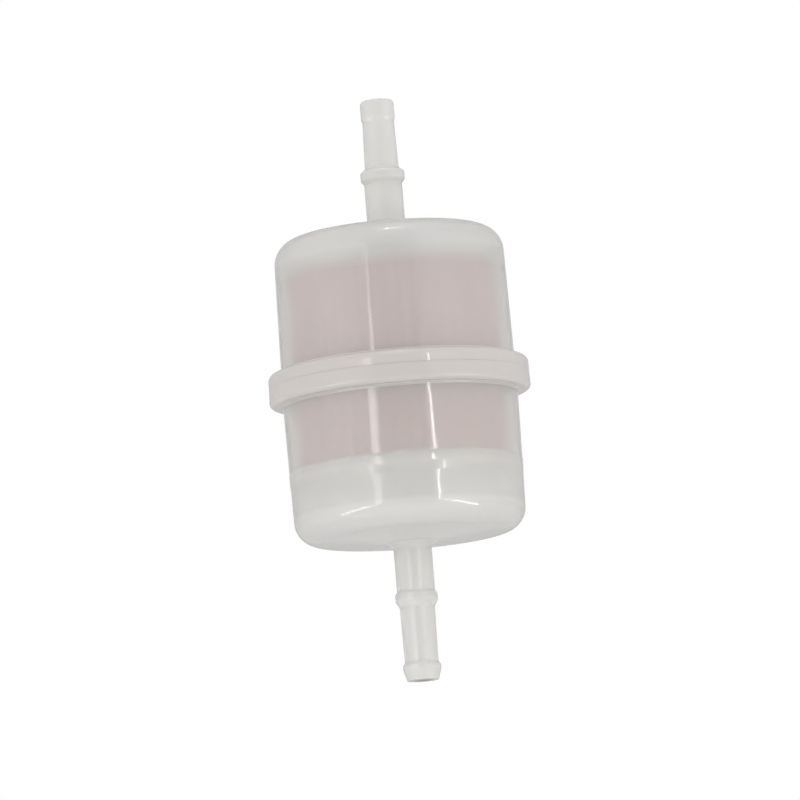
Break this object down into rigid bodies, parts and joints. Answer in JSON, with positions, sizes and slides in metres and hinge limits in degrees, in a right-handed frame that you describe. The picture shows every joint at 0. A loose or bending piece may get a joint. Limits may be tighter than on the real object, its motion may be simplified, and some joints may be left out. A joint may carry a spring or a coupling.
{
  "type": "fuel filter",
  "caption": "In-line fuel filter: round see-through nylon case with a welded flange at its middle, a pleated paper element inside and a stepped hose stem at each end.",
  "frame": {"origin": "halfway between the two stem tips, on the axis of the stems", "axes": "+Z along the stems, from the inlet end to the outlet end"},
  "size_m": [0.0572, 0.0572, 0.128],
  "materials": {
    "nylon_case": "milky see-through moulded nylon, satin",
    "filter_paper": "resin-treated pleated paper, matt",
    "cap_plastic": "moulded, satin",
    "glue": "set adhesive, satin",
    "seal_rubber": "moulded, matt"
  },
  "bodies": {
    "root": {"outlet_housing": "nylon_case", "inlet_housing": "nylon_case", "filter_paper": "filter_paper", "paper_seam_bead": "glue", "closed_end_cap": "cap_plastic", "outlet_end_cap": "cap_plastic", "closed_cap_glue": "glue", "outlet_cap_glue": "glue", "core_tube": "cap_plastic", "spigot_seal": "seal_rubber"}
  },
  "joints": []
}
